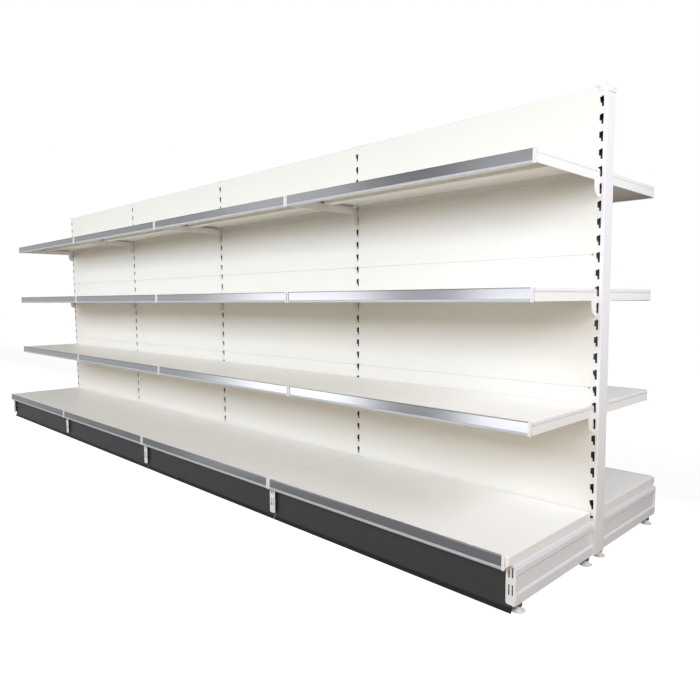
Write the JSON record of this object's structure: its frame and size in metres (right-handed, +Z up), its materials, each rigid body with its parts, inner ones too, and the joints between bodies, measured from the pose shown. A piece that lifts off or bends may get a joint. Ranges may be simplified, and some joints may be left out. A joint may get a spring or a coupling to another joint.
{
  "type": "gondola shelving",
  "caption": "Double-sided gondola shelving run: slotted uprights, hook-in bracket shelves with ticket strips, back panels, base decks on levelling legs and dark plinths.",
  "frame": {"origin": "on the floor under the middle of the run", "axes": "+X along the run, +Y across it from front to back, +Z up"},
  "size_m": [4.0334, 1.012, 1.432],
  "materials": {
    "frame_paint": "satin",
    "leg_paint": "satin",
    "panel_paint": "satin",
    "shelf_paint": "satin",
    "ticket_silver": "satin",
    "plinth_paint": "satin",
    "cap_plastic": "satin",
    "pad_plastic": "satin",
    "zinc_steel": "zinc plated"
  },
  "bodies": {
    "frame": {"uprights": "frame_paint", "upright_caps": "cap_plastic", "tie_rails": "frame_paint", "frame_bolts": "zinc_steel", "base_legs": "leg_paint", "base_decks": "shelf_paint", "base_ticket_strips": "ticket_silver", "plinths": "plinth_paint", "back_panels": "panel_paint", "shelf_brackets": "shelf_paint"},
    "levelling_feet": {"foot_stems": "zinc_steel", "foot_pads": "pad_plastic"},
    "tray_front_bay1_lower": {"shelf_front_bay1_lower": "shelf_paint", "ticket_strip_front_bay1_lower": "ticket_silver"},
    "tray_front_bay1_middle": {"shelf_front_bay1_middle": "shelf_paint", "ticket_strip_front_bay1_middle": "ticket_silver"},
    "tray_front_bay1_upper": {"shelf_front_bay1_upper": "shelf_paint", "ticket_strip_front_bay1_upper": "ticket_silver"},
    "tray_front_bay2_lower": {"shelf_front_bay2_lower": "shelf_paint", "ticket_strip_front_bay2_lower": "ticket_silver"},
    "tray_front_bay2_middle": {"shelf_front_bay2_middle": "shelf_paint", "ticket_strip_front_bay2_middle": "ticket_silver"},
    "tray_front_bay2_upper": {"shelf_front_bay2_upper": "shelf_paint", "ticket_strip_front_bay2_upper": "ticket_silver"},
    "tray_front_bay3_lower": {"shelf_front_bay3_lower": "shelf_paint", "ticket_strip_front_bay3_lower": "ticket_silver"},
    "tray_front_bay3_middle": {"shelf_front_bay3_middle": "shelf_paint", "ticket_strip_front_bay3_middle": "ticket_silver"},
    "tray_front_bay3_upper": {"shelf_front_bay3_upper": "shelf_paint", "ticket_strip_front_bay3_upper": "ticket_silver"},
    "tray_front_bay4_lower": {"shelf_front_bay4_lower": "shelf_paint", "ticket_strip_front_bay4_lower": "ticket_silver"},
    "tray_front_bay4_middle": {"shelf_front_bay4_middle": "shelf_paint", "ticket_strip_front_bay4_middle": "ticket_silver"},
    "tray_front_bay4_upper": {"shelf_front_bay4_upper": "shelf_paint", "ticket_strip_front_bay4_upper": "ticket_silver"},
    "tray_back_bay1_lower": {"shelf_back_bay1_lower": "shelf_paint", "ticket_strip_back_bay1_lower": "ticket_silver"},
    "tray_back_bay1_middle": {"shelf_back_bay1_middle": "shelf_paint", "ticket_strip_back_bay1_middle": "ticket_silver"},
    "tray_back_bay1_upper": {"shelf_back_bay1_upper": "shelf_paint", "ticket_strip_back_bay1_upper": "ticket_silver"},
    "tray_back_bay2_lower": {"shelf_back_bay2_lower": "shelf_paint", "ticket_strip_back_bay2_lower": "ticket_silver"},
    "tray_back_bay2_middle": {"shelf_back_bay2_middle": "shelf_paint", "ticket_strip_back_bay2_middle": "ticket_silver"},
    "tray_back_bay2_upper": {"shelf_back_bay2_upper": "shelf_paint", "ticket_strip_back_bay2_upper": "ticket_silver"},
    "tray_back_bay3_lower": {"shelf_back_bay3_lower": "shelf_paint", "ticket_strip_back_bay3_lower": "ticket_silver"},
    "tray_back_bay3_middle": {"shelf_back_bay3_middle": "shelf_paint", "ticket_strip_back_bay3_middle": "ticket_silver"},
    "tray_back_bay3_upper": {"shelf_back_bay3_upper": "shelf_paint", "ticket_strip_back_bay3_upper": "ticket_silver"},
    "tray_back_bay4_lower": {"shelf_back_bay4_lower": "shelf_paint", "ticket_strip_back_bay4_lower": "ticket_silver"},
    "tray_back_bay4_middle": {"shelf_back_bay4_middle": "shelf_paint", "ticket_strip_back_bay4_middle": "ticket_silver"},
    "tray_back_bay4_upper": {"shelf_back_bay4_upper": "shelf_paint", "ticket_strip_back_bay4_upper": "ticket_silver"}
  },
  "joints": [
    {"name": "foot_levelling", "type": "slide", "parent": "frame", "child": "levelling_feet", "axis": [0, 0, -1], "range_m": [0, 0.016]},
    {"name": "tray_lift_front_bay1_lower", "type": "slide", "parent": "frame", "child": "tray_front_bay1_lower", "axis": [0, 0, 1], "range_m": [0, 0.05]},
    {"name": "tray_lift_front_bay1_middle", "type": "slide", "parent": "frame", "child": "tray_front_bay1_middle", "axis": [0, 0, 1], "range_m": [0, 0.05]},
    {"name": "tray_lift_front_bay1_upper", "type": "slide", "parent": "frame", "child": "tray_front_bay1_upper", "axis": [0, 0, 1], "range_m": [0, 0.05]},
    {"name": "tray_lift_front_bay2_lower", "type": "slide", "parent": "frame", "child": "tray_front_bay2_lower", "axis": [0, 0, 1], "range_m": [0, 0.05]},
    {"name": "tray_lift_front_bay2_middle", "type": "slide", "parent": "frame", "child": "tray_front_bay2_middle", "axis": [0, 0, 1], "range_m": [0, 0.05]},
    {"name": "tray_lift_front_bay2_upper", "type": "slide", "parent": "frame", "child": "tray_front_bay2_upper", "axis": [0, 0, 1], "range_m": [0, 0.05]},
    {"name": "tray_lift_front_bay3_lower", "type": "slide", "parent": "frame", "child": "tray_front_bay3_lower", "axis": [0, 0, 1], "range_m": [0, 0.05]},
    {"name": "tray_lift_front_bay3_middle", "type": "slide", "parent": "frame", "child": "tray_front_bay3_middle", "axis": [0, 0, 1], "range_m": [0, 0.05]},
    {"name": "tray_lift_front_bay3_upper", "type": "slide", "parent": "frame", "child": "tray_front_bay3_upper", "axis": [0, 0, 1], "range_m": [0, 0.05]},
    {"name": "tray_lift_front_bay4_lower", "type": "slide", "parent": "frame", "child": "tray_front_bay4_lower", "axis": [0, 0, 1], "range_m": [0, 0.05]},
    {"name": "tray_lift_front_bay4_middle", "type": "slide", "parent": "frame", "child": "tray_front_bay4_middle", "axis": [0, 0, 1], "range_m": [0, 0.05]},
    {"name": "tray_lift_front_bay4_upper", "type": "slide", "parent": "frame", "child": "tray_front_bay4_upper", "axis": [0, 0, 1], "range_m": [0, 0.05]},
    {"name": "tray_lift_back_bay1_lower", "type": "slide", "parent": "frame", "child": "tray_back_bay1_lower", "axis": [0, 0, 1], "range_m": [0, 0.05]},
    {"name": "tray_lift_back_bay1_middle", "type": "slide", "parent": "frame", "child": "tray_back_bay1_middle", "axis": [0, 0, 1], "range_m": [0, 0.05]},
    {"name": "tray_lift_back_bay1_upper", "type": "slide", "parent": "frame", "child": "tray_back_bay1_upper", "axis": [0, 0, 1], "range_m": [0, 0.05]},
    {"name": "tray_lift_back_bay2_lower", "type": "slide", "parent": "frame", "child": "tray_back_bay2_lower", "axis": [0, 0, 1], "range_m": [0, 0.05]},
    {"name": "tray_lift_back_bay2_middle", "type": "slide", "parent": "frame", "child": "tray_back_bay2_middle", "axis": [0, 0, 1], "range_m": [0, 0.05]},
    {"name": "tray_lift_back_bay2_upper", "type": "slide", "parent": "frame", "child": "tray_back_bay2_upper", "axis": [0, 0, 1], "range_m": [0, 0.05]},
    {"name": "tray_lift_back_bay3_lower", "type": "slide", "parent": "frame", "child": "tray_back_bay3_lower", "axis": [0, 0, 1], "range_m": [0, 0.05]},
    {"name": "tray_lift_back_bay3_middle", "type": "slide", "parent": "frame", "child": "tray_back_bay3_middle", "axis": [0, 0, 1], "range_m": [0, 0.05]},
    {"name": "tray_lift_back_bay3_upper", "type": "slide", "parent": "frame", "child": "tray_back_bay3_upper", "axis": [0, 0, 1], "range_m": [0, 0.05]},
    {"name": "tray_lift_back_bay4_lower", "type": "slide", "parent": "frame", "child": "tray_back_bay4_lower", "axis": [0, 0, 1], "range_m": [0, 0.05]},
    {"name": "tray_lift_back_bay4_middle", "type": "slide", "parent": "frame", "child": "tray_back_bay4_middle", "axis": [0, 0, 1], "range_m": [0, 0.05]},
    {"name": "tray_lift_back_bay4_upper", "type": "slide", "parent": "frame", "child": "tray_back_bay4_upper", "axis": [0, 0, 1], "range_m": [0, 0.05]}
  ]
}
